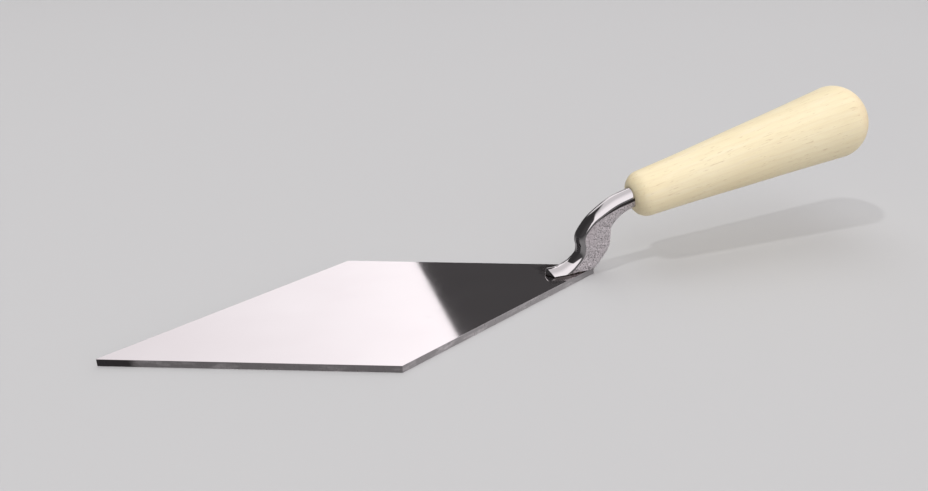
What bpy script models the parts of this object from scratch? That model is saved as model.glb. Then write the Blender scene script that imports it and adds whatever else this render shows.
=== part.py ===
"""A brick trowel: a diamond steel blade, a forged gooseneck shank brazed on its heel, and a turned wooden handle.

Units are metres. +X runs from the blade's tip to the handle, +Z is up and the tool is symmetric about Y = 0.
The origin is the middle of the blade's flat underside, on which the trowel rests.
"""

import math

import bmesh
import bpy
import numpy as np
from mathutils import Vector

MM = 0.001
GAP = 0.3 * MM  # clearance between pieces that touch

# Blade: a flat diamond, sharp at the tip and cut square at the heel.
BLADE_LENGTH = 254 * MM  # from the tip to the point where the two heel edges would meet
BLADE_WIDTH = 114.7 * MM
BLADE_THICKNESS = 3.6 * MM
HEEL_CUT = 3.8 * MM  # how far the square heel stands short of that point
EDGE_BEVEL = 0.2 * MM

# Foot: the shank's flat-bottomed front end, half round on top. Its end is a steep, slightly rounded wall.
FOOT_FRONT = 97.3 * MM  # where the round top ends in an edge and the wall starts
NOSE_LENGTH = 2.4 * MM  # how far the wall reaches forward at the blade
NOSE_LEAN = 2.5 * MM  # how much further forward the wall's crest stands than its corners
FOOT_HEIGHT = 3.5 * MM  # above the blade
FOOT_HALF_WIDTH = 5.0 * MM

# Gooseneck, foot to handle. A row is one section of the bar, in millimetres: the centre of its round crown
# (x, height above the blade), the centre of its round belly (x, height), and the half width at each.
SECTIONS = [
    (100.5, -1.9, 100.5, -8.0, 5.3, 5.0),
    (105.0, -0.8, 107.1, -6.3, 5.1, 5.0),
    (109.0, 1.4, 112.6, -4.0, 4.7, 4.9),
    (112.3, 4.2, 117.8, 0.4, 4.4, 4.7),
    (116.0, 8.6, 123.2, 5.0, 4.2, 4.4),
    (116.9, 13.7, 128.4, 12.0, 4.3, 4.2),
    (116.2, 17.2, 129.0, 17.3, 4.3, 4.2),
    (116.4, 20.1, 129.0, 20.0, 4.3, 4.2),
    (117.8, 22.9, 129.0, 21.9, 4.3, 4.2),
    (121.4, 27.1, 129.4, 24.1, 4.3, 4.2),
    (125.8, 30.6, 131.5, 27.3, 4.4, 4.3),
    (134.8, 35.6, 137.0, 32.6, 4.5, 4.4),
]
SECTION_STEPS = 3  # rings from one section to the next
RING_HALF = 13  # points on each half of a ring; odd, so that one of them is at the very top

# Handle: a turned grip, thickest near the butt, set on the tang along its own tilted axis.
HANDLE_FACE = Vector((144.6, 0, 40.8)) * MM  # centre of the end that meets the neck
HANDLE_RISE = math.radians(11.8)
HANDLE_LENGTH = 151.6 * MM
NECK_ROUND = 7.75 * MM  # radius of the rounding at the neck
BUTT_DOME = 18.1 * MM  # length of the domed end
GRIP_RADII = [12.4 * MM, 14.2 * MM, 16.5 * MM, 18.7 * MM, 21.2 * MM]  # evenly spaced, neck to dome
GRIP_STEPS = 4
HANDLE_RING_HALF = 24

# Tang and its socket, measured along the handle's axis from the neck end.
NECK_RADIUS = 4.5 * MM
NECK_FLAT = 2.4 * MM  # height of the flat side between the neck's crown and belly
NECK_OFFSET = 0.3 * MM  # the neck's centre lies this far above the handle's axis
SHOULDER = 5 * MM  # how far the full neck goes into the wood
TANG_END = 96 * MM
TANG_RADIUS = 3 * MM
TANG_TIP_RADIUS = 1.8 * MM
SOCKET_END = 99 * MM
SOCKET_RADIUS = 4.4 * MM

# Braze: the thin layer under the foot that joins it to the blade.
BRAZE_THICKNESS = 0.4 * MM
BRAZE_GAP = 0.15 * MM
BRAZE_INSET = 0.3 * MM
BRAZE_SHOULDERS = 116 * MM  # from here back the layer narrows with the blade
BRAZE_END = 121.5 * MM
SOLE_HEIGHT = BLADE_THICKNESS + BRAZE_THICKNESS + 2 * BRAZE_GAP


def clear_scene():
    for obj in list(bpy.data.objects):
        bpy.data.objects.remove(obj)


def make_material(name, colour, roughness, metallic):
    material = bpy.data.materials.new(name)
    material.use_nodes = True
    shader = material.node_tree.nodes["Principled BSDF"]
    shader.inputs["Base Color"].default_value = (*colour, 1)
    shader.inputs["Roughness"].default_value = roughness
    shader.inputs["Metallic"].default_value = metallic
    return material


def make_object(name, bm, material=None):
    bmesh.ops.recalc_face_normals(bm, faces=bm.faces[:])
    mesh = bpy.data.meshes.new(name)
    bm.to_mesh(mesh)
    bm.free()
    obj = bpy.data.objects.new(name, mesh)
    bpy.context.scene.collection.objects.link(obj)
    if material:
        mesh.materials.append(material)
    return obj


def make_cutter(name, bm):
    cutter = make_object(name, bm)
    cutter.hide_render = True
    cutter.display_type = "WIRE"
    return cutter


def cut(obj, cutter):
    modifier = obj.modifiers.new(cutter.name, "BOOLEAN")
    modifier.operation = "DIFFERENCE"
    modifier.solver = "EXACT"
    modifier.object = cutter


def shade_round(obj, sharp_angle=35):
    obj.data.shade_smooth()
    obj.data.set_sharp_from_angle(angle=math.radians(sharp_angle))


def box(low, high):
    bm = bmesh.new()
    bmesh.ops.create_cube(bm, size=1)
    for vert in bm.verts:
        vert.co = [a + (b - a) * (share + 0.5) for a, b, share in zip(low, high, vert.co)]
    return bm


def smooth_rows(rows, steps):
    """Rows of numbers along a smooth curve that passes through the given rows."""
    rows = np.array(rows)
    ends = [rows[0] * 2 - rows[1], *rows, rows[-1] * 2 - rows[-2]]
    points = []
    for a, b, c, d in zip(ends, ends[1:], ends[2:], ends[3:]):
        for t in np.arange(steps) / steps:
            bend = (2 * a - 5 * b + 4 * c - d) * t**2 + (3 * b - a - 3 * c + d) * t**3
            points.append(b + ((c - a) * t + bend) / 2)
    return [*points, rows[-1]]


def ring(crown, belly, crown_radius, belly_radius, up, half=RING_HALF):
    """One section of a bar: half a circle over the crown's centre and half a circle under the belly's centre."""
    points = []
    for centre, radius, way in ((crown, crown_radius, 1), (belly, belly_radius, -1)):
        for k in range(half):
            angle = math.pi * (k + 0.5) / half
            side = Vector((0, way * radius * math.cos(angle), 0))
            points.append(centre + side + up * (way * radius * math.sin(angle)))
    return points


def circle(centre, radius, up, half=RING_HALF):
    return ring(centre, centre, radius, radius, up, half)


def loft(rings, joined=False):
    """A skin over rings with the same number of points, capped at both ends or joined into a tube's wall."""
    bm = bmesh.new()
    loops = [[bm.verts.new(point) for point in points] for points in rings]
    pairs = list(zip(loops, loops[1:]))
    if joined:
        pairs.append((loops[-1], loops[0]))
    else:
        bm.faces.new(loops[0])
        bm.faces.new(loops[-1])
    for first, second in pairs:
        for k in range(len(first)):
            bm.faces.new((first[k - 1], first[k], second[k], second[k - 1]))
    return bm


def foot_outline(share):
    """Where the foot's front wall stands on the blade, as (x, half width), from its middle to its corner."""
    x = FOOT_FRONT - NOSE_LENGTH * (1 - share**1.5) + NOSE_LEAN / 2 * share
    return x, FOOT_HALF_WIDTH * share


def nose_rings():
    """Sections of the foot's front wall, from a point on the blade to the full foot, leaning forward as they rise."""
    rings = []
    for share in (0.1, 0.3, 0.5, 0.7, 0.86, 1.0):
        x, width = foot_outline(share)
        height = FOOT_HEIGHT * share
        radius = (width**2 + height**2) / (2 * height)
        crown = Vector((x, 0, BLADE_THICKNESS + height - radius))
        belly = crown - Vector((0, 0, 6 * MM))
        points = ring(crown, belly, radius, radius, Vector((0, 0, 1)))
        for point in points:
            point.x -= NOSE_LEAN * (point.z - BLADE_THICKNESS) / FOOT_HEIGHT
        rings.append(points)
    return rings


def neck_ring(along, up, face, axis, grow=0):
    centre = face + axis * along + up * NECK_OFFSET
    crown = centre + up * (NECK_FLAT / 2)
    belly = centre - up * (NECK_FLAT / 2)
    return ring(crown, belly, NECK_RADIUS + grow, NECK_RADIUS + grow, up)


def handle_frame():
    """The handle's axis, pointing to the butt, and its upward direction."""
    axis = Vector((math.cos(HANDLE_RISE), 0, math.sin(HANDLE_RISE)))
    return axis, Vector((-axis.z, 0, axis.x))


def neck_row():
    """The neck's section where it enters the handle, as a row of SECTIONS."""
    up = handle_frame()[1]
    centre = HANDLE_FACE + up * NECK_OFFSET
    crown = centre + up * (NECK_FLAT / 2)
    belly = centre - up * (NECK_FLAT / 2)
    row = (crown.x, crown.z - BLADE_THICKNESS, belly.x, belly.z - BLADE_THICKNESS, NECK_RADIUS, NECK_RADIUS)
    return [value / MM for value in row]


def gooseneck_rings():
    rings = []
    for row in smooth_rows([*SECTIONS, neck_row()], SECTION_STEPS):
        crown_x, crown_z, belly_x, belly_z, crown_radius, belly_radius = (float(value) * MM for value in row)
        crown = Vector((crown_x, 0, crown_z + BLADE_THICKNESS))
        belly = Vector((belly_x, 0, belly_z + BLADE_THICKNESS))
        up = (crown - belly).normalized()
        rings.append(ring(crown, belly, crown_radius, belly_radius, up))
    return rings


def tang_rings():
    axis, up = handle_frame()
    tip = HANDLE_FACE + axis * TANG_END
    return [
        neck_ring(SHOULDER, up, HANDLE_FACE, axis),
        circle(HANDLE_FACE + axis * SHOULDER, TANG_RADIUS, up),
        circle(tip - axis * TANG_TIP_RADIUS, TANG_TIP_RADIUS, up),
        circle(tip, TANG_TIP_RADIUS / 2, up),
    ]


def make_blade(material):
    heel_half_width = BLADE_WIDTH * HEEL_CUT / BLADE_LENGTH
    heel = BLADE_LENGTH / 2 - HEEL_CUT
    outline = [
        (-BLADE_LENGTH / 2, 0),
        (0, -BLADE_WIDTH / 2),
        (heel, -heel_half_width),
        (heel, heel_half_width),
        (0, BLADE_WIDTH / 2),
    ]
    bm = loft([[(x, y, z) for x, y in outline] for z in (0, BLADE_THICKNESS)])
    blade = make_object("blade", bm, material)
    bevel = blade.modifiers.new("edge", "BEVEL")
    bevel.width = EDGE_BEVEL
    bevel.segments = 2
    return blade


def make_shank(material):
    shank = make_object("shank", loft(nose_rings() + gooseneck_rings() + tang_rings()), material)
    low = (80 * MM, -20 * MM, -20 * MM)
    high = (135 * MM, 20 * MM, SOLE_HEIGHT)
    cut(shank, make_cutter("flat_sole", box(low, high)))
    shade_round(shank)
    return shank


def blade_half_width(x):
    return BLADE_WIDTH / 2 * (1 - abs(x) / (BLADE_LENGTH / 2))


def braze_outline():
    """Half of the layer's outline, from its front to its back end, as (x, half width)."""
    points = []
    for share in (0.3, 0.5, 0.7, 0.86, 1.0):
        x, width = foot_outline(share)
        points.append((x + BRAZE_INSET, width - BRAZE_INSET))
    points.append((BRAZE_SHOULDERS, FOOT_HALF_WIDTH - BRAZE_INSET))
    points.append((BRAZE_END, blade_half_width(BRAZE_END) - BRAZE_INSET))
    return points


def make_braze(material):
    half = braze_outline()
    outline = [(x, -y) for x, y in half] + [(x, y) for x, y in reversed(half)]
    floor = BLADE_THICKNESS + BRAZE_GAP
    layers = [[(x, y, z) for x, y in outline] for z in (floor, floor + BRAZE_THICKNESS)]
    return make_object("braze_layer", loft(layers), material)


def grip_radius(along):
    """The handle's radius at a distance from its neck end."""
    grip = HANDLE_LENGTH - BUTT_DOME
    if along > grip:
        return GRIP_RADII[-1] * math.sqrt(max(0, 1 - ((along - grip) / BUTT_DOME) ** 2))
    rows = smooth_rows([[radius] for radius in GRIP_RADII], GRIP_STEPS)
    radius = float(np.interp(along / grip, np.linspace(0, 1, len(rows)), np.array(rows)[:, 0]))
    into = max(0, NECK_ROUND - along)
    return radius - NECK_ROUND + math.sqrt(NECK_ROUND**2 - into**2)


def handle_stations():
    """Distances from the neck end at which the handle's outline is turned."""
    quarter = [math.radians(degrees) for degrees in range(0, 90, 15)]
    neck = [NECK_ROUND * (1 - math.cos(angle)) for angle in quarter]
    grip_end = HANDLE_LENGTH - BUTT_DOME
    grip = list(np.linspace(NECK_ROUND, grip_end, 17))
    dome = [grip_end + BUTT_DOME * math.sin(math.radians(degrees)) for degrees in (12, 24, 36, 48, 60, 70, 79, 86)]
    return neck + grip + dome


def place_on_handle(obj):
    obj.location = HANDLE_FACE
    obj.rotation_euler = (0, -HANDLE_RISE, 0)


def make_socket_cutter():
    origin, axis, up = Vector(), Vector((1, 0, 0)), Vector((0, 0, 1))
    depth = SHOULDER + GAP
    rings = [
        neck_ring(-3 * MM, up, origin, axis, GAP),
        neck_ring(depth, up, origin, axis, GAP),
        circle(axis * depth, SOCKET_RADIUS, up),
        circle(axis * SOCKET_END, SOCKET_RADIUS, up),
    ]
    cutter = make_cutter("tang_socket", loft(rings))
    place_on_handle(cutter)
    return cutter


def make_handle(material):
    up = Vector((0, 0, 1))
    rings = [circle(Vector((x, 0, 0)), grip_radius(x), up, HANDLE_RING_HALF) for x in handle_stations()]
    handle = make_object("handle", loft(rings), material)
    place_on_handle(handle)
    cut(handle, make_socket_cutter())
    shade_round(handle)
    return handle


def tang_radius(along):
    share = (along - SHOULDER) / (TANG_END - TANG_TIP_RADIUS - SHOULDER)
    return TANG_RADIUS + (TANG_TIP_RADIUS - TANG_RADIUS) * share


def make_adhesive(material):
    """Set resin between the tang and its socket, a sleeve that stops just short of the tang's end."""
    up = Vector((0, 0, 1))
    start = SHOULDER + 2 * GAP
    end = TANG_END - 2 * TANG_TIP_RADIUS
    outline = [
        (start, SOCKET_RADIUS - GAP),
        (end, SOCKET_RADIUS - GAP),
        (end, tang_radius(end) + GAP),
        (start, tang_radius(start) + GAP),
    ]
    rings = [circle(Vector((x, 0, 0)), radius, up) for x, radius in outline]
    adhesive = make_object("tang_adhesive", loft(rings, joined=True), material)
    place_on_handle(adhesive)
    shade_round(adhesive)
    return adhesive


def main():
    clear_scene()
    steel = make_material("bright_steel", (0.62, 0.60, 0.61), 0.12, 1.0)
    brass = make_material("braze_brass", (0.60, 0.48, 0.26), 0.35, 1.0)
    wood = make_material("turned_wood", (0.83, 0.72, 0.50), 0.45, 0.0)
    resin = make_material("set_resin", (0.55, 0.40, 0.16), 0.3, 0.0)
    make_blade(steel)
    make_shank(steel)
    make_braze(brass)
    make_handle(wood)
    make_adhesive(resin)


main()
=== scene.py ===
"""A brick trowel in a plain studio.

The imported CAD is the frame, and each of its outer nodes gets a finely shaped and finished piece over it.
"""

import math

import bmesh
import bpy
import numpy as np
from mathutils import Matrix, Vector, noise


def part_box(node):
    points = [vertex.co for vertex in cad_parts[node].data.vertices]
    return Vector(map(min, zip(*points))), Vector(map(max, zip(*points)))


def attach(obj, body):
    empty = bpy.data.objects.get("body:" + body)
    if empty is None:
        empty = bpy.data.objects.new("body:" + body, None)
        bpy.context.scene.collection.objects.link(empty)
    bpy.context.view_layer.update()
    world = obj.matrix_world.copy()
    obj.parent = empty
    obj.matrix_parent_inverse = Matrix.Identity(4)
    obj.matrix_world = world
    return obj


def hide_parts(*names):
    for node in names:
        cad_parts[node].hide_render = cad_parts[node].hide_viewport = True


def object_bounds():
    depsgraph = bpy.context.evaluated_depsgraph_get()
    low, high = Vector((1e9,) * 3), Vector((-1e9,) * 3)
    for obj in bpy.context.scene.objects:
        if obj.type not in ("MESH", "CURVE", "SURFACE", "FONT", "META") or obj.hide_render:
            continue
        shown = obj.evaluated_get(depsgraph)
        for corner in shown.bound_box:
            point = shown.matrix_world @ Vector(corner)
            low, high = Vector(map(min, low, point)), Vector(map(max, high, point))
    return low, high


MM = 0.001
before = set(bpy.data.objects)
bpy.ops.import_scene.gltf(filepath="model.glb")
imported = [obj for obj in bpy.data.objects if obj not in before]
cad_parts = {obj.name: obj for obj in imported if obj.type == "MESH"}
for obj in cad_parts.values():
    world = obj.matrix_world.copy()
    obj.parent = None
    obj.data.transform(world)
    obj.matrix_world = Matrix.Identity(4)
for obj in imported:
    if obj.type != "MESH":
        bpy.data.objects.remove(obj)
CAD_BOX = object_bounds()
BLADE_LOW, BLADE_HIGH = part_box("blade")
BLADE_TOP = BLADE_HIGH.z

# Shank. Each row of SECTIONS is one section, the same as the CAD's, in millimetres: the crown's x and height,
# the belly's x and height, and the radius of each. The heights are above the blade's top.
FOOT_FRONT = 97.3 * MM
NOSE_LENGTH = 2.4 * MM
NOSE_LEAN = 2.5 * MM
FOOT_HEIGHT = 3.5 * MM
FOOT_HALF_WIDTH = 5.0 * MM
SIDE_RECESS = 0.28 * MM  # how far the rough sides stand back from the edge of the round crown
SECTIONS = [
    (100.5, -1.9, 100.5, -8.0, 5.3, 5.0),
    (105.0, -0.8, 107.1, -6.3, 5.1, 5.0),
    (109.0, 1.4, 112.6, -4.0, 4.7, 4.9),
    (112.3, 4.2, 117.8, 0.4, 4.4, 4.7),
    (116.0, 8.6, 123.2, 5.0, 4.2, 4.4),
    (116.9, 13.7, 128.4, 12.0, 4.3, 4.2),
    (116.2, 17.2, 129.0, 17.3, 4.3, 4.2),
    (116.4, 20.1, 129.0, 20.0, 4.3, 4.2),
    (117.8, 22.9, 129.0, 21.9, 4.3, 4.2),
    (121.4, 27.1, 129.4, 24.1, 4.3, 4.2),
    (125.8, 30.6, 131.5, 27.3, 4.4, 4.3),
    (134.8, 35.6, 137.0, 32.6, 4.5, 4.4),
]
SECTION_STEPS = 12  # rings between two rows
NOSE_SHARES = (0.08, 0.2, 0.35, 0.5, 0.65, 0.8, 0.92, 0.985, 1.0)
NOSE_DEPTH = 6 * MM  # from the crown to the belly, which is cut off at the foot's sole
PIT_SIZE, PIT_DEPTH = 0.85 * MM, 0.16 * MM
DENT_SIZE, DENT_DEPTH = 3.2 * MM, 0.14 * MM

# Handle: its neck end, tilt and turned outline, and the shank's neck and tang inside it.
HANDLE_FACE = Vector((144.6, 0, 40.8)) * MM
HANDLE_RISE = math.radians(11.8)
HANDLE_LENGTH = 151.6 * MM
NECK_ROUND = 7.75 * MM
BUTT_DOME = 18.1 * MM
GRIP_RADII = [12.4 * MM, 14.2 * MM, 16.5 * MM, 18.7 * MM, 21.2 * MM]
NECK_RADIUS = 4.5 * MM
NECK_FLAT = 2.4 * MM
NECK_OFFSET = 0.3 * MM
SHOULDER = 5 * MM
TANG_END = 96 * MM
TANG_RADIUS = 3 * MM
TANG_TIP_RADIUS = 1.8 * MM
SOCKET_END = 99 * MM
SOCKET_RADIUS = 4.4 * MM
FIT = 0.06 * MM  # the visible clearance between wood and neck
SKIN = 0.08 * MM  # the grip's surface stays this far inside the CAD's
WOOD_STEPS = 56  # points on half a turn
GRIP_STEPS = 48
GRIP_ROW_STEPS = 12
NECK_DEGREES = (16, 20, 25, 31, 38, 46, 55, 64, 73, 82)
DOME_DEGREES = range(4, 88, 4)

# The groove under the crown's edge, whose faces are painted near-black as shade, widens between two heights
# of the crown's centre.
CREASE_RISE = (26 * MM, 37 * MM)
CREASE_WIDTH = (0.12 * MM, 1.9 * MM)

# Blade and braze.
CORNER_RADIUS = 0.3 * MM  # seen from above
CORNER_STEPS = 5
RIM = 0.08 * MM  # rounding of the upper and lower edges
RIM_DEGREES = (90, 60, 30, 0)
EDGE = 1  # the blade's material slot for its narrow sides
EDGE_TILT = 0.3  # a face is a narrow side when its normal rises less than this
BRAZE_HEIGHT = 0.35 * MM
BRAZE_HEEL = 122 * MM
# Where the plate is painted with a dark reflection round the shank's foot.
DARK_REFLECTION_MIDDLE = 111 * MM
DARK_REFLECTION_HALF_LENGTH = 18 * MM
DARK_REFLECTION_HALF_WIDTH = 11.5 * MM

# Studio, in metres.
FLOOR_HALF = 9
WALL_RADIUS = 8.5
WALL_HEIGHT = 8
WALL_GREY = 0.60
PANEL_OUTLINE = [(0.85, -0.5, 0), (-0.538, -0.5, 0), (-0.951, 0.75, 0), (0.85, 0.75, 0)]
PANEL_DISTANCE = 2.6
PANEL_FADE = [(0.0, 1.0), (0.12, 0.97), (0.76, 0.70), (0.88, 0.55), (1.0, 0.05)]
PANEL_TINT = (1.0, 0.965, 0.98)
PANEL_STRENGTH = 1.11
SUN_TOWARDS = Vector((-0.60, -0.23, 1))
CAMERA_PLACE = Vector((-0.0754, -0.3802, 0.2175))
CAMERA_AIM = Vector((0.3406, 0.8412, -0.4199))
CAMERA_RIGHT = Vector((0.9269, -0.3753, 0))
CAMERA_LENS = 33.66
CAMERA_SHIFT = (-0.0574, -0.00685)

AXIS = Vector((math.cos(HANDLE_RISE), 0, math.sin(HANDLE_RISE)))
UP = Vector((-AXIS.z, 0, AXIS.x))


# ---------------------------------------------------------------- meshes


def add_piece(name, bm, material, node, sharp_angle=40):
    bmesh.ops.recalc_face_normals(bm, faces=bm.faces[:])
    mesh = bpy.data.meshes.new(name)
    bm.to_mesh(mesh)
    bm.free()
    mesh.materials.append(material)
    mesh.shade_smooth()
    mesh.set_sharp_from_angle(angle=math.radians(sharp_angle))
    piece = bpy.data.objects.new(name, mesh)
    bpy.context.scene.collection.objects.link(piece)
    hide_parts(node)
    return piece


def smooth_rows(rows, steps):
    """Rows of numbers along a smooth curve that passes through the given rows."""
    rows = np.array(rows, float)
    ends = [rows[0] * 2 - rows[1], *rows, rows[-1] * 2 - rows[-2]]
    points = []
    for a, b, c, d in zip(ends, ends[1:], ends[2:], ends[3:]):
        for t in np.arange(steps) / steps:
            bend = (2 * a - 5 * b + 4 * c - d) * t**2 + (3 * b - a - 3 * c + d) * t**3
            points.append(b + ((c - a) * t + bend) / 2)
    return [*points, rows[-1]]


def ring(crown, belly, crown_radius, belly_radius, up, half):
    points = []
    for centre, radius, way in ((crown, crown_radius, 1), (belly, belly_radius, -1)):
        for k in range(half):
            angle = math.pi * (k + 0.5) / half
            side = Vector((0, way * radius * math.cos(angle), 0))
            points.append(centre + side + up * (way * radius * math.sin(angle)))
    return points


def circle(centre, radius, up, half):
    return ring(centre, centre, radius, radius, up, half)


def loft(rings, slots=None):
    """A capped skin over rings. slots gives each lengthwise strip's material slot, which is otherwise 0."""
    bm = bmesh.new()
    loops = [[bm.verts.new(point) for point in points] for points in rings]
    bm.faces.new(loops[0])
    bm.faces.new(loops[-1])
    for first, second in zip(loops, loops[1:]):
        for k in range(len(first)):
            face = bm.faces.new((first[k - 1], first[k], second[k], second[k - 1]))
            face.material_index = slots[k] if slots else 0
    return bm


def neck_ring(along, face, axis, up, grow, half):
    centre = face + axis * along + up * NECK_OFFSET
    rise = up * (NECK_FLAT / 2)
    return ring(centre + rise, centre - rise, NECK_RADIUS + grow, NECK_RADIUS + grow, up, half)


CROWN_STEPS = 28
SIDE_STEPS = 12
BELLY_STEPS = 24
# CREASE is the slot of the painted shade in the groove under the crown's edge.
CROWN, ROUGH, CREASE = 0, 1, 2  # the shank's material slots
BAR_SLOTS = (
    [CREASE]
    + [CROWN] * CROWN_STEPS
    + [CREASE] * 2
    + [ROUGH] * (2 * SIDE_STEPS + BELLY_STEPS)
    + [CREASE]
)


def bar_ring(crown, belly, crown_radius, belly_radius, up, recess=SIDE_RECESS, crease=CREASE_WIDTH[0]):
    """One section of the shank: a half-round crown, sides that stand back from its edge, and a round belly.

    crease is how far down the side the groove under the crown's edge reaches; its faces are painted dark as
    shade.
    """
    points = []
    for k in range(CROWN_STEPS + 1):
        angle = math.pi * k / CROWN_STEPS
        side = Vector((0, crown_radius * math.cos(angle), 0))
        points.append(crown + side + up * (crown_radius * math.sin(angle)))
    near = [crown + Vector((0, recess * 0.35 - crown_radius, 0)) - up * (crease * 0.3)]
    top = crown + Vector((0, recess - crown_radius, 0)) - up * crease
    bottom = belly + Vector((0, recess - belly_radius, 0))
    near += [top.lerp(bottom, k / SIDE_STEPS) for k in range(SIDE_STEPS)]
    points += near
    for k in range(BELLY_STEPS + 1):
        angle = math.pi * k / BELLY_STEPS
        side = Vector((0, -(belly_radius - recess) * math.cos(angle), 0))
        points.append(belly + side - up * (belly_radius * math.sin(angle)))
    return points + [Vector((point.x, -point.y, point.z)) for point in reversed(near)]


def foot_outline(share):
    """Where the foot's front wall stands on the blade, as (x, half width), from its middle to its corner."""
    x = FOOT_FRONT - NOSE_LENGTH * (1 - share**1.5) + NOSE_LEAN / 2 * share
    return x, FOOT_HALF_WIDTH * share


def nose_rings():
    """Sections of the front wall. Each leans forward as it rises, so the top overhangs the foot's corners."""
    rings = []
    for share in NOSE_SHARES:
        x, width = foot_outline(share)
        height = FOOT_HEIGHT * share
        radius = (width**2 + height**2) / (2 * height)
        crown = Vector((x, 0, BLADE_TOP + height - radius))
        belly = crown - Vector((0, 0, NOSE_DEPTH))
        points = bar_ring(crown, belly, radius, radius, Vector((0, 0, 1)))
        for point in points:
            point.x -= NOSE_LEAN * (point.z - BLADE_TOP) / FOOT_HEIGHT
        rings.append(points)
    return rings


def gooseneck_rings():
    neck = HANDLE_FACE + UP * NECK_OFFSET
    crown, belly = neck + UP * (NECK_FLAT / 2), neck - UP * (NECK_FLAT / 2)
    places = (crown.x, crown.z - BLADE_TOP, belly.x, belly.z - BLADE_TOP)
    last = [value / MM for value in (*places, NECK_RADIUS, NECK_RADIUS)]
    rings = []
    for row in smooth_rows([*SECTIONS, last], SECTION_STEPS):
        crown_x, crown_z, belly_x, belly_z, crown_radius, belly_radius = (float(value) * MM for value in row)
        crown = Vector((crown_x, 0, crown_z + BLADE_TOP))
        belly = Vector((belly_x, 0, belly_z + BLADE_TOP))
        crease = float(np.interp(crown_z, CREASE_RISE, CREASE_WIDTH))
        up = (crown - belly).normalized()
        rings.append(bar_ring(crown, belly, crown_radius, belly_radius, up, SIDE_RECESS, crease))
    return rings


def tang_rings():
    neck = HANDLE_FACE + UP * NECK_OFFSET
    rise = UP * (NECK_FLAT / 2)
    rings = []
    for along, grow in ((2 * MM, 0), (SHOULDER - 0.4 * MM, 0), (SHOULDER, -0.4 * MM)):
        middle = neck + AXIS * along
        radius = NECK_RADIUS + grow
        points = bar_ring(middle + rise, middle - rise, radius, radius, UP, crease=CREASE_WIDTH[1])
        rings.append(points)
    for along, radius in (
        (SHOULDER, TANG_RADIUS),
        (TANG_END - TANG_TIP_RADIUS, TANG_TIP_RADIUS),
        (TANG_END - 0.4 * TANG_TIP_RADIUS, TANG_TIP_RADIUS * 0.8),
        (TANG_END, TANG_TIP_RADIUS * 0.4),
    ):
        middle = HANDLE_FACE + AXIS * along
        rise = UP * 0.1 * MM
        rings.append(bar_ring(middle + rise, middle - rise, radius, radius, UP, 0.02 * MM, 0.05 * MM))
    return rings


def roughen(bm):
    """Hammer and scale marks on the sides, pressed in only, and fading out where the neck enters the wood."""
    bm.normal_update()
    rough = [vert for vert in bm.verts if all(face.material_index == ROUGH for face in vert.link_faces)]
    for vert in rough:
        free = min(1.0, max(0.0, -(vert.co - HANDLE_FACE).dot(AXIS) / (2 * MM)))
        pits = noise.noise(vert.co / PIT_SIZE) * 0.5 + 0.5
        dents = noise.noise(vert.co / DENT_SIZE) * 0.5 + 0.5
        vert.co -= vert.normal * free * (pits * PIT_DEPTH + dents * DENT_DEPTH)


def make_shank(polished, rough, scale):
    bm = loft(nose_rings() + gooseneck_rings() + tang_rings(), BAR_SLOTS)
    bmesh.ops.recalc_face_normals(bm, faces=bm.faces[:])
    roughen(bm)
    sole = BLADE_TOP + BRAZE_HEIGHT
    everything = bm.verts[:] + bm.edges[:] + bm.faces[:]
    below = (0, 0, -1)
    bmesh.ops.bisect_plane(bm, geom=everything, plane_co=(0, 0, sole), plane_no=below, clear_outer=True)
    open_edges = [edge for edge in bm.edges if edge.is_boundary]
    bmesh.ops.contextual_create(bm, geom=open_edges)
    piece = add_piece("shank_bar", bm, polished, "shank", 38)
    piece.data.materials.append(rough)
    # the third slot is the painted shade in the groove under the crown's edge
    piece.data.materials.append(scale)
    return piece


def rounded(corners, inset):
    """The blade's outline with rounded corners, moved inwards by inset."""
    points = []
    for k, corner in enumerate(corners):
        before = (corner - corners[k - 1]).normalized()
        after = (corners[(k + 1) % len(corners)] - corner).normalized()
        first, last = (math.atan2(-way.x, way.y) for way in (before, after))
        sweep = (last - first) % (2 * math.pi)
        half = (math.pi - sweep) / 2
        centre = corner + (after - before).normalized() * (CORNER_RADIUS / math.sin(half))
        for step in range(CORNER_STEPS + 1):
            angle = first + sweep * step / CORNER_STEPS
            points.append(centre + Vector((math.cos(angle), math.sin(angle))) * (CORNER_RADIUS - inset))
    return points


def make_blade(material, edge_material):
    slope = BLADE_HIGH.y / -BLADE_LOW.x
    heel_half = (-BLADE_LOW.x - BLADE_HIGH.x) * slope
    tip_reach = CORNER_RADIUS * (1 / math.sin(math.atan(slope)) - 1)
    corners = [
        Vector((BLADE_LOW.x - tip_reach, 0.0)),
        Vector((0.0, BLADE_LOW.y)),
        Vector((BLADE_HIGH.x, -heel_half)),
        Vector((BLADE_HIGH.x, heel_half)),
        Vector((0.0, BLADE_HIGH.y)),
    ]
    rings = []
    for degrees in RIM_DEGREES:
        angle = math.radians(degrees)
        rise, inset = RIM * (1 - math.sin(angle)), RIM * (1 - math.cos(angle))
        rings.append((BLADE_LOW.z + rise, inset))
    rings += [(BLADE_LOW.z + BLADE_TOP - z, inset) for z, inset in reversed(rings)]
    bm = loft([[(x, y, z) for x, y in rounded(corners, inset)] for z, inset in rings])
    piece = add_piece("blade_plate", bm, material, "blade", 8)
    piece.data.materials.append(edge_material)
    for face in piece.data.polygons:
        if abs(face.normal.z) < EDGE_TILT:
            face.material_index = EDGE
    return piece


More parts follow.
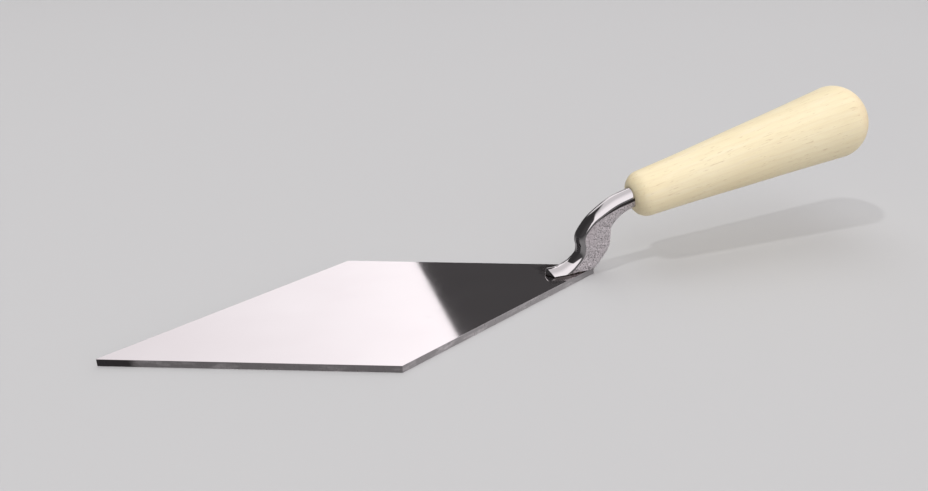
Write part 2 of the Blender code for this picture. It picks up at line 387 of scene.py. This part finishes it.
def make_braze(material):
    """The thin layer under the foot, with a slightly uneven rim. It narrows with the blade at the heel."""
    half = [foot_outline(share) for share in np.linspace(0.06, 1, 14)]
    slope = BLADE_HIGH.y / -BLADE_LOW.x
    for x in np.linspace(half[-1][0] + 0.5 * MM, BRAZE_HEEL, 22):
        across = min(FOOT_HALF_WIDTH - 0.1 * MM, (-BLADE_LOW.x - x) * slope - 0.15 * MM)
        half.append((float(x), across + 0.06 * MM * math.sin(float(x) / MM * 2.3)))
    outline = [(x, -y) for x, y in half] + [(x, y) for x, y in reversed(half)]
    middle = Vector(((half[0][0] + half[-1][0]) / 2, 0))
    rings = []
    top = BRAZE_HEIGHT / MM
    for height, share in ((0.01, 0.985), (0.10, 1.0), (top - 0.10, 1.0), (top - 0.01, 0.98)):
        z = BLADE_TOP + height * MM
        rings.append([(middle.x + (x - middle.x) * share, y * share, z) for x, y in outline])
    return add_piece("braze_line", loft(rings), material, "braze_layer", 50)


def grip_radius(along):
    grip = HANDLE_LENGTH - BUTT_DOME
    if along > grip:
        return GRIP_RADII[-1] * math.sqrt(max(0, 1 - ((along - grip) / BUTT_DOME) ** 2))
    rows = smooth_rows([[radius] for radius in GRIP_RADII], GRIP_ROW_STEPS)
    radius = float(np.interp(along / grip, np.linspace(0, 1, len(rows)), np.array(rows)[:, 0]))
    into = max(0, NECK_ROUND - along)
    return radius - NECK_ROUND + math.sqrt(NECK_ROUND**2 - into**2)


def handle_matrix():
    return Matrix.Translation(HANDLE_FACE) @ Matrix.Rotation(-HANDLE_RISE, 4, "Y")


def make_handle(material):
    """The turned grip, with the socket that holds the shank's neck and tang."""
    half = WOOD_STEPS
    origin, axis, up = Vector(), Vector((1, 0, 0)), Vector((0, 0, 1))
    socket = [
        circle(axis * SOCKET_END, SOCKET_RADIUS * 0.2, up, half),
        circle(axis * (SOCKET_END - MM), SOCKET_RADIUS, up, half),
        circle(axis * (SHOULDER + 0.3 * MM), SOCKET_RADIUS, up, half),
        neck_ring(SHOULDER + 0.3 * MM, origin, axis, up, FIT, half),
        neck_ring(0.5 * MM, origin, axis, up, FIT, half),
        neck_ring(0.22 * MM, origin, axis, up, FIT + 0.15 * MM, half),
    ]
    neck = [NECK_ROUND * (1 - math.cos(math.radians(degrees))) for degrees in NECK_DEGREES]
    grip_end = HANDLE_LENGTH - BUTT_DOME
    grip = list(np.linspace(NECK_ROUND, grip_end, GRIP_STEPS))
    dome = [grip_end + BUTT_DOME * math.sin(math.radians(degrees)) for degrees in DOME_DEGREES]
    dome.append(HANDLE_LENGTH - 2 * SKIN)
    outside = [circle(axis * along, grip_radius(along) - SKIN, up, half) for along in neck + grip]
    outside += [circle(axis * (along - SKIN), grip_radius(along) - SKIN, up, half) for along in dome]
    bm = loft(socket + outside)
    bmesh.ops.transform(bm, matrix=handle_matrix(), verts=bm.verts)
    return add_piece("handle_grip", bm, material, "handle", 50)


# ---------------------------------------------------------------- materials


class Nodes:
    """Short calls for building a material's node tree."""

    def __init__(self, name):
        self.material = bpy.data.materials.new(name)
        self.material.use_nodes = True
        self.tree = self.material.node_tree
        self.shader = self.tree.nodes["Principled BSDF"]
        self.coords = self.tree.nodes.new("ShaderNodeTexCoord").outputs["Object"]

    def link(self, a, b):
        self.tree.links.new(a, b)

    def add(self, kind, inputs=None, **settings):
        node = self.tree.nodes.new(kind)
        for name, value in settings.items():
            setattr(node, name, value)
        for name, value in (inputs or {}).items():
            if isinstance(value, bpy.types.NodeSocket):
                self.link(value, node.inputs[name])
            else:
                node.inputs[name].default_value = value
        return node

    def place(self, scale, location):
        inputs = {"Vector": self.coords, "Scale": scale, "Location": location}
        return self.add("ShaderNodeMapping", inputs).outputs[0]

    def noise(self, scale, detail, roughness, location=(0, 0, 0), distortion=0.0):
        inputs = {
            "Vector": self.place(scale, location),
            "Scale": 1.0,
            "Detail": detail,
            "Roughness": roughness,
            "Distortion": distortion,
        }
        return self.add("ShaderNodeTexNoise", inputs).outputs["Fac"]

    def ramp(self, value, stops):
        node = self.add("ShaderNodeValToRGB", {"Fac": value})
        elements = node.color_ramp.elements
        while len(elements) < len(stops):
            elements.new(0.5)
        for element, (position, grey) in zip(elements, stops):
            element.position = position
            element.color = (grey, grey, grey, 1)
        return node.outputs["Color"]

    def span(self, value, low, high, start=0.0, end=1.0):
        inputs = {"Value": value, "From Min": start, "From Max": end, "To Min": low, "To Max": high}
        return self.add("ShaderNodeMapRange", inputs).outputs["Result"]

    def maths(self, operation, a, b=0.5):
        node = self.add("ShaderNodeMath", operation=operation)
        for socket, value in zip(node.inputs, (a, b)):
            if isinstance(value, bpy.types.NodeSocket):
                self.link(value, socket)
            else:
                socket.default_value = value
        return node.outputs[0]

    def mix(self, factor, a, b, blend="MIX"):
        node = self.add("ShaderNodeMix", data_type="RGBA", blend_type=blend)
        for index, value in ((0, factor), (6, a), (7, b)):
            if isinstance(value, bpy.types.NodeSocket):
                self.link(value, node.inputs[index])
            elif index == 0:
                node.inputs[index].default_value = value
            else:
                node.inputs[index].default_value = (*value, 1)
        return node.outputs[2]

    def bump(self, height, distance, strength, normal=None):
        inputs = {"Height": height, "Distance": distance, "Strength": strength}
        if normal:
            inputs["Normal"] = normal
        return self.add("ShaderNodeBump", inputs).outputs["Normal"]

    def finish(self, colour, roughness, normal=None, **sockets):
        for name, value in (("Base Color", colour), ("Roughness", roughness), ("Normal", normal)):
            if value:
                self.link(value, self.shader.inputs[name])
        for name, value in sockets.items():
            self.shader.inputs[name.replace("_", " ")].default_value = value
        return self.material


def polished_steel():
    """Mirror-polished plate: faint lengthwise lines, a few marks, and a painted dark reflection round the
    foot, where the plate is near-black so that it shows no reflection of the shank.
    """
    n = Nodes("polished_steel")
    lines = n.noise((40, 2600, 900), 3, 0.6)
    clouds = n.noise((18, 26, 26), 3, 0.5, (3, 1, 0))
    marks = n.noise((90, 700, 300), 2, 0.5, (7, 2, 0), 1.2)
    marks = n.ramp(marks, [(0.70, 0.0), (0.78, 1.0)])
    rough = n.maths("ADD", n.span(lines, 0.025, 0.05), n.span(clouds, -0.01, 0.03, 0.3, 0.7))
    rough = n.maths("ADD", rough, n.maths("MULTIPLY", marks, 0.06))
    colour = n.mix(n.span(clouds, 0, 1, 0.3, 0.7), (0.93, 0.885, 0.90), (0.965, 0.925, 0.94))
    # Painted dark reflection: near-black round the shank's foot, so the plate there looks as if it reflects
    # the dark room.
    split = n.add("ShaderNodeSeparateXYZ", {"Vector": n.coords}).outputs
    across = n.maths("DIVIDE", n.maths("ABSOLUTE", split["Y"]), DARK_REFLECTION_HALF_WIDTH)
    from_middle = n.maths("SUBTRACT", split["X"], DARK_REFLECTION_MIDDLE)
    along = n.maths("DIVIDE", n.maths("ABSOLUTE", from_middle), DARK_REFLECTION_HALF_LENGTH)
    near = n.maths("MAXIMUM", across, along)
    near = n.maths("ADD", near, n.span(n.noise((330, 330, 330), 3, 0.6, (6, 2, 2)), -0.22, 0.22))
    dark_reflection_mask = n.span(near, 1, 0, 0.70, 1.02)
    colour = n.mix(dark_reflection_mask, colour, (0.12, 0.10, 0.10))
    rough = n.maths("ADD", rough, n.maths("MULTIPLY", dark_reflection_mask, 0.22))
    normal = n.bump(lines, 0.0000015, 0.6)
    return n.finish(colour, rough, normal, Metallic=1.0)


def sheared_steel():
    """The blade's narrow sides: sheared and scaled, rubbed bright in patches, with painted shade that darkens
    them towards the heel, most beside the shank's foot, and dark at the tip.
    """
    n = Nodes("sheared_steel")
    patches = n.noise((70, 70, 240), 3, 0.6, (2, 6, 1))
    drag = n.noise((900, 900, 260), 3, 0.6)
    rubbed = n.span(patches, 0, 1, 0.50, 0.68)
    along = n.add("ShaderNodeSeparateXYZ", {"Vector": n.coords}).outputs["X"]
    colour = n.mix(rubbed, (0.62, 0.585, 0.60), (1.0, 0.945, 0.965))
    colour = n.mix(n.span(drag, 0, 0.5, 0.45, 0.75), colour, (0.52, 0.49, 0.50))
    # Painted shade: darker towards the heel, and darkest beside the shank's foot.
    colour = n.mix(n.span(along, 0, 0.35, 20 * MM, 100 * MM), colour, (0.50, 0.49, 0.49))
    colour = n.mix(n.span(along, 0, 0.6, 104 * MM, 122 * MM), colour, (0.16, 0.15, 0.155))
    tip = n.maths("ADD", along, n.span(patches, -3 * MM, 3 * MM, 0.3, 0.7))
    colour = n.mix(n.span(tip, 0.85, 0, -114 * MM, -109 * MM), colour, (0.05, 0.045, 0.048))
    return n.finish(colour, n.span(drag, 0.22, 0.38), n.bump(drag, 0.00004, 0.5), Metallic=1.0)


def crown_steel():
    """The shank's polished crown: bright, with faint lines along the bar and a slightly uneven finish."""
    n = Nodes("crown_steel")
    drawn = n.noise((130, 1500, 130), 3, 0.55)
    waves = n.noise((190, 260, 190), 2, 0.5, (3, 3, 3))
    rough = n.span(drawn, 0.035, 0.085, 0.3, 0.7)
    colour = n.mix(drawn, (0.85, 0.82, 0.83), (0.90, 0.875, 0.885))
    normal = n.bump(waves, 0.00006, 0.5)
    normal = n.bump(drawn, 0.000004, 0.6, normal)
    return n.finish(colour, rough, normal, Metallic=1.0)


def forged_steel():
    """The shank's sides: the pitted, uneven skin left by the forging, worn brighter on its high spots."""
    n = Nodes("forged_steel")
    pits = n.noise((1050, 1050, 1050), 3, 0.7)
    lumps = n.noise((300, 300, 300), 3, 0.6, (4, 0, 2))
    broad = n.noise((80, 80, 80), 2, 0.5, (1, 1, 6))
    uneven = n.maths("ADD", n.maths("MULTIPLY", pits, 0.6), n.maths("MULTIPLY", lumps, 0.9))
    worn = n.span(pits, 0, 1, 0.38, 0.50)
    colour = n.mix(worn, (0.34, 0.31, 0.32), (0.96, 0.895, 0.925))
    colour = n.mix(n.span(broad, 0, 0.6, 0.42, 0.66), colour, (0.92, 0.83, 0.865))
    rough = n.span(pits, 0.46, 0.26)
    return n.finish(colour, rough, n.bump(uneven, 0.0006, 0.9), Metallic=0.8)


def painted_crease_shade():
    """Painted shade: near-black in the groove under the crown's edge, where a shadow line falls."""
    n = Nodes("painted_crease_shade")
    grain = n.noise((900, 900, 900), 3, 0.6)
    colour = n.mix(grain, (0.020, 0.016, 0.018), (0.060, 0.050, 0.054))
    return n.finish(colour, n.span(grain, 0.40, 0.62), n.bump(grain, 0.00008, 0.6), Metallic=0.4)


def braze_brass():
    """Brass braze painted near-black as the shadow line where the foot meets the blade."""
    n = Nodes("braze_brass")
    grain = n.noise((1400, 1400, 1400), 4, 0.6)
    shade_mottle = n.noise((240, 240, 240), 2, 0.5, (1, 5, 0))
    # Painted shade: both colours are near-black, for the shadow line under the foot.
    colour = n.mix(n.span(shade_mottle, 0, 1, 0.45, 0.75), (0.030, 0.025, 0.024), (0.12, 0.092, 0.065))
    return n.finish(colour, n.span(grain, 0.30, 0.50), n.bump(grain, 0.00006, 0.6), Metallic=0.8)


def turned_wood():
    """Pale hardwood, turned and sanded: growth rings, lengthwise fibres, short pores and soft blotches."""
    n = Nodes("turned_wood")
    inputs = {"Vector": n.coords, "Location": HANDLE_FACE, "Rotation": (0, -HANDLE_RISE, 0)}
    n.coords = n.add("ShaderNodeMapping", inputs, vector_type="TEXTURE").outputs[0]  # X along the grain
    wander = n.noise((9, 40, 40), 3, 0.5, (2, 0, 0))
    bent = n.add("ShaderNodeVectorMath", {0: n.coords, 1: (0.0, 0.027, 0.046)}, operation="ADD").outputs[0]
    inputs = {"Y": n.span(wander, -0.004, 0.004), "Z": n.span(wander, 0.003, -0.003)}
    push = n.add("ShaderNodeCombineXYZ", inputs).outputs[0]
    bent = n.add("ShaderNodeVectorMath", {0: bent, 1: push}, operation="ADD").outputs[0]
    inputs = {"Vector": bent, "Scale": 95.0, "Distortion": 1.4, "Detail": 3.0}
    inputs |= {"Detail Scale": 0.35, "Detail Roughness": 0.6}
    settings = {"wave_type": "RINGS", "rings_direction": "X", "wave_profile": "SAW"}
    rings = n.add("ShaderNodeTexWave", inputs, **settings).outputs["Fac"]
    fibres = n.noise((70, 1300, 1300), 4, 0.65)
    streaks = n.noise((22, 300, 300), 4, 0.6, (5, 1, 3))
    flecks = n.ramp(n.noise((130, 1500, 1500), 2, 0.5, (1, 9, 4)), [(0.64, 0.0), (0.70, 1.0)])
    blotch = n.noise((24, 60, 60), 3, 0.55, (8, 8, 1))
    colour = n.mix(n.span(blotch, 0, 1, 0.32, 0.68), (0.955, 0.85, 0.585), (0.915, 0.79, 0.515))
    colour = n.mix(n.maths("MULTIPLY", n.maths("POWER", rings, 3.0), 0.24), colour, (0.78, 0.62, 0.38))
    colour = n.mix(n.span(streaks, 0, 0.45, 0.50, 0.75), colour, (0.97, 0.885, 0.68))
    colour = n.mix(n.span(fibres, 0.0, 0.24, 0.45, 0.75), colour, (0.80, 0.65, 0.41))
    colour = n.mix(n.maths("MULTIPLY", flecks, 0.48), colour, (0.66, 0.50, 0.29))
    along = n.add("ShaderNodeSeparateXYZ", {"Vector": n.coords}).outputs["X"]
    butt = n.maths("ADD", along, n.span(blotch, -0.006, 0.006, 0.3, 0.7))
    pores = n.span(n.noise((1500, 1500, 1500), 2, 0.5, (2, 2, 9)), 0.35, 1.0, 0.35, 0.65)
    end_grain = n.maths("MULTIPLY", n.span(butt, 0, 0.6, 0.136, 0.146), pores)
    colour = n.mix(end_grain, colour, (0.88, 0.68, 0.42))
    height = n.maths("SUBTRACT", n.maths("MULTIPLY", fibres, 0.5), n.maths("MULTIPLY", flecks, 0.6))
    rough = n.maths("ADD", n.span(fibres, 0.40, 0.52), n.maths("MULTIPLY", flecks, 0.10))
    normal = n.bump(height, 0.00005, 0.5)
    return n.finish(colour, rough, normal, Coat_Weight=0.12, Coat_Roughness=0.32)


def set_resin():
    """Amber resin, clouded by wood dust."""
    n = Nodes("set_resin")
    clouds = n.noise((120, 260, 260), 3, 0.5)
    colour = n.mix(clouds, (0.42, 0.27, 0.09), (0.62, 0.44, 0.18))
    return n.finish(colour, n.span(clouds, 0.22, 0.40), n.bump(clouds, 0.0002, 0.4))


def studio_floor():
    """A plain pale matt floor."""
    n = Nodes("studio_floor")
    grain = n.noise((500, 500, 500), 3, 0.6)
    broad = n.noise((1.6, 1.6, 1.6), 2, 0.5)
    colour = n.mix(broad, (0.540, 0.541, 0.543), (0.551, 0.552, 0.554))
    return n.finish(colour, n.span(grain, 0.45, 0.50), None, Specular_IOR_Level=0.0)


# ---------------------------------------------------------------- stage


def make_floor():
    bm = bmesh.new()
    bmesh.ops.create_grid(bm, x_segments=8, y_segments=8, size=FLOOR_HALF)
    mesh = bpy.data.meshes.new("floor")
    bm.to_mesh(mesh)
    bm.free()
    mesh.materials.append(studio_floor())
    floor = bpy.data.objects.new("floor", mesh)
    floor.location = (0, 0, CAD_BOX[0].z - 0.1 * MM)
    floor.visible_glossy = False  # polished steel shows the darker lower half of the world instead
    bpy.context.scene.collection.objects.link(floor)


def make_backdrop():
    """A pale wall all round, seen only by the camera, so that every view has the same plain background."""
    n = Nodes("backdrop_glow")
    colour = (WALL_GREY, WALL_GREY, WALL_GREY, 1)
    emission = n.add("ShaderNodeEmission", {"Color": colour, "Strength": 1.0})
    n.link(emission.outputs[0], n.tree.nodes["Material Output"].inputs["Surface"])
    bm = bmesh.new()
    bmesh.ops.create_cone(bm, segments=64, radius1=WALL_RADIUS, radius2=WALL_RADIUS, depth=WALL_HEIGHT)
    mesh = bpy.data.meshes.new("backdrop")
    bm.to_mesh(mesh)
    bm.free()
    mesh.materials.append(n.material)
    wall = bpy.data.objects.new("backdrop", mesh)
    bpy.context.scene.collection.objects.link(wall)
    wall.visible_glossy = wall.visible_diffuse = wall.visible_shadow = False


def direction(azimuth, elevation):
    """A unit vector, azimuth in degrees from +X towards +Y."""
    a, e = math.radians(azimuth), math.radians(elevation)
    return Vector((math.cos(a) * math.cos(e), math.sin(a) * math.cos(e), math.sin(e)))


def softbox(name, towards, distance, width, height, radiance):
    """A large soft lamp that lights the scene but leaves no shape of its own in the polished steel."""
    light = bpy.data.lights.new(name, "AREA")
    light.shape = "RECTANGLE"
    light.size, light.size_y = width, height
    light.energy = radiance * math.pi * width * height
    lamp = bpy.data.objects.new(name, light)
    bpy.context.scene.collection.objects.link(lamp)
    lamp.rotation_mode = "QUATERNION"
    lamp.rotation_quaternion = towards.to_track_quat("Z", "Y")
    lamp.location = towards * distance
    lamp.visible_camera = False
    lamp.visible_glossy = False
    return lamp


def make_back_panel():
    """A soft panel behind the blade. Its slanted edge is the line between light and dark in the steel."""
    n = Nodes("panel_glow")
    across = n.add("ShaderNodeSeparateXYZ", {"Vector": n.coords}).outputs["X"]
    glow = n.mix(1.0, n.ramp(n.span(across, 0, 1, -0.9, 0.85), PANEL_FADE), PANEL_TINT, "MULTIPLY")
    emission = n.add("ShaderNodeEmission", {"Color": glow, "Strength": PANEL_STRENGTH})
    n.link(emission.outputs[0], n.tree.nodes["Material Output"].inputs["Surface"])
    mesh = bpy.data.meshes.new("back_panel")
    mesh.from_pydata(PANEL_OUTLINE, [], [(0, 1, 2, 3)])
    mesh.materials.append(n.material)
    panel = bpy.data.objects.new("back_panel", mesh)
    bpy.context.scene.collection.objects.link(panel)
    towards = direction(90, 31)
    panel.rotation_mode = "QUATERNION"
    panel.rotation_quaternion = towards.to_track_quat("Z", "Y")
    panel.location = towards * PANEL_DISTANCE
    panel.visible_camera = False
    panel.visible_shadow = False


def make_lights():
    """Two large soft lamps, the panel behind the blade, and a small sun lamp at the left for the shadow."""
    make_back_panel()
    softbox("overhead", direction(105, 72), 5.2, 4.4, 4.4, 1.15)
    key = softbox("front_key", direction(-100, 60), 5.0, 3.2, 2.6, 3.10)
    key.data.use_shadow = False  # its shadow would blur the one that the sun lamp draws
    sun = bpy.data.lights.new("left_key", "SUN")
    sun.energy = 0.50
    sun.angle = math.radians(2.5)
    lamp = bpy.data.objects.new("left_key", sun)
    lamp.visible_glossy = False
    bpy.context.scene.collection.objects.link(lamp)
    lamp.rotation_mode = "QUATERNION"
    lamp.rotation_quaternion = SUN_TOWARDS.to_track_quat("Z", "Y")


def make_world():
    """What polished steel reflects: a pale room in front, overhead and to the right, and a dark left side.

    Each direction's brightness is read from how far it faces some way. Below the horizon it is dark, apart
    from straight down and low on the right.
    """
    world = bpy.data.worlds.new("studio")
    bpy.context.scene.world = world
    world.use_nodes = True
    tree = world.node_tree

    def node(kind, **settings):
        made = tree.nodes.new(kind)
        for name, value in settings.items():
            setattr(made, name, value)
        return made

    def shades(value, stops):
        ramp = node("ShaderNodeValToRGB")
        tree.links.new(value, ramp.inputs["Fac"])
        elements = ramp.color_ramp.elements
        while len(elements) < len(stops):
            elements.new(0.5)
        for element, (position, shade) in zip(elements, stops):
            element.position = position
            element.color = (shade, shade * 0.99, shade * 0.995, 1)
        return ramp.outputs["Color"]

    where = node("ShaderNodeTexCoord").outputs["Generated"]

    def facing(way, stops):
        dot = node("ShaderNodeVectorMath", operation="DOT_PRODUCT")
        tree.links.new(where, dot.inputs[0])
        dot.inputs[1].default_value = way
        return shades(dot.outputs["Value"], stops)

    def combine(first, second, how):
        mix = node("ShaderNodeMix", data_type="RGBA", blend_type=how)
        mix.inputs[0].default_value = 1.0
        tree.links.new(first, mix.inputs[6])
        tree.links.new(second, mix.inputs[7])
        return mix.outputs[2]

    room = facing(Vector((0.87, -0.15, 0.50)).normalized(), ((0.01, 0.055), (0.065, 1.0)))
    front = facing((0.0, -1.0, 0.0), ((0.15, 0.64), (0.75, 0.98)))
    recess = facing(direction(66, 28), ((0.955, 1.0), (0.972, 0.088)))
    above = facing((0.0, 0.0, -1.0), ((0.02, 1.0), (0.12, 0.0)))
    below = facing((0.0, 0.0, -1.0), ((0.10, 0.055), (0.45, 0.20)))
    right = facing((1.0, 0.0, 0.0), ((0.35, 0.055), (0.78, 0.44)))
    glow = combine(combine(combine(room, front, "MULTIPLY"), recess, "MULTIPLY"), above, "MULTIPLY")
    under = facing((0.0, 0.0, -1.0), ((0.0, 0.0), (0.06, 1.0)))
    low = combine(combine(below, right, "LIGHTEN"), under, "MULTIPLY")
    tree.links.new(combine(glow, low, "LIGHTEN"), tree.nodes["Background"].inputs["Color"])


def make_camera():
    data = bpy.data.cameras.new("camera")
    data.lens = CAMERA_LENS
    data.shift_x, data.shift_y = CAMERA_SHIFT
    data.clip_start = 0.01
    camera = bpy.data.objects.new("camera", data)
    bpy.context.scene.collection.objects.link(camera)
    back = -CAMERA_AIM.normalized()
    right = CAMERA_RIGHT.normalized()
    up = back.cross(right)
    turn = Matrix((right, up, back)).transposed().to_4x4()
    camera.matrix_world = Matrix.Translation(CAMERA_PLACE) @ turn
    bpy.context.scene.camera = camera


def main():
    steel = polished_steel()
    pieces = [
        make_blade(steel, sheared_steel()),
        make_shank(crown_steel(), forged_steel(), painted_crease_shade()),
        make_braze(braze_brass()),
        make_handle(turned_wood()),
    ]
    for piece in pieces:
        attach(piece, "root")
    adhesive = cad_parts["tang_adhesive"]
    adhesive.data.materials.clear()
    adhesive.data.materials.append(set_resin())
    make_floor()
    make_backdrop()
    make_lights()
    make_world()
    make_camera()
    bpy.context.scene.view_settings.view_transform = "Standard"


main()
